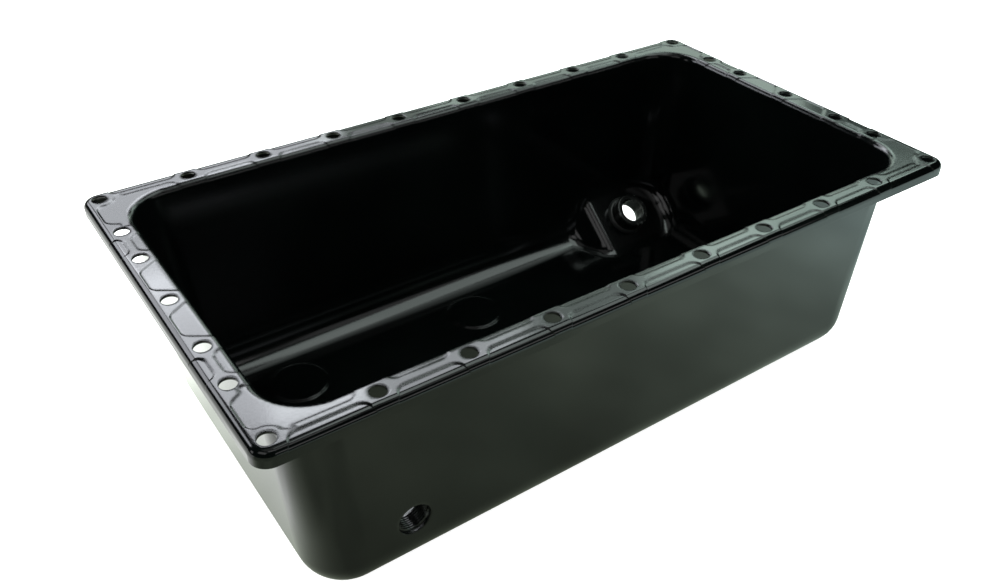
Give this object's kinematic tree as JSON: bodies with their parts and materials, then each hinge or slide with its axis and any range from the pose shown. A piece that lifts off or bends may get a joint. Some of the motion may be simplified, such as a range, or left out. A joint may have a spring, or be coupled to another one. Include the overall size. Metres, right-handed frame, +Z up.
{
  "type": "engine oil pan",
  "caption": "Deep rectangular pressed-steel sump with an embossed bolting flange, a ramped corner and two threaded drain bosses.",
  "frame": {"origin": "middle of the footprint, on the underside of the floor", "axes": "+X along the pan, towards the end with the ramp; -Y out of the wall with the front drain; +Z up, out of the open mouth"},
  "size_m": [0.4866, 0.2642, 0.15],
  "materials": {
    "pan_enamel": "satin",
    "boss_enamel": "satin"
  },
  "bodies": {
    "root": {"pan_shell": "pan_enamel", "front_drain_boss": "boss_enamel", "rear_drain_boss": "boss_enamel"}
  },
  "joints": []
}
